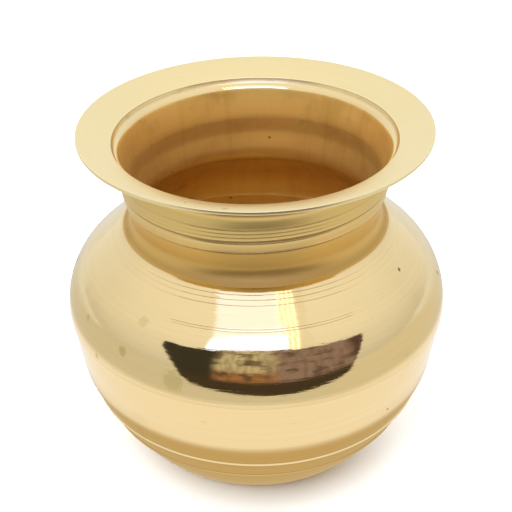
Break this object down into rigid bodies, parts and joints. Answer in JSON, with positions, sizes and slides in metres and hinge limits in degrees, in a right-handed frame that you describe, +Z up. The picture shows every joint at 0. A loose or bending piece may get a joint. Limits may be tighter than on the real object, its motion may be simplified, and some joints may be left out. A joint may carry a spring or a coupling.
{
  "type": "brass kalash pot",
  "caption": "Round-bellied brass water pot with a waisted, ribbed neck and a wide flared rim, brazed together from turned shells.",
  "frame": {"origin": "centre of the base, on the surface that the pot stands on", "axes": "+Z up along the axis of turning and out of the mouth; the pot is round, so +X and +Y are any two level directions"},
  "size_m": [0.1076, 0.1076, 0.0987],
  "materials": {
    "bowl_brass": "polished",
    "shoulder_brass": "polished",
    "collar_brass": "polished",
    "rim_brass": "satin",
    "belly_filler": "satin",
    "neck_filler": "satin",
    "rim_filler": "satin"
  },
  "bodies": {
    "root": {"base_bowl": "bowl_brass", "shoulder_shell": "shoulder_brass", "neck_collar": "collar_brass", "rim_flare": "rim_brass", "belly_braze": "belly_filler", "neck_braze": "neck_filler", "rim_braze": "rim_filler"}
  },
  "joints": []
}
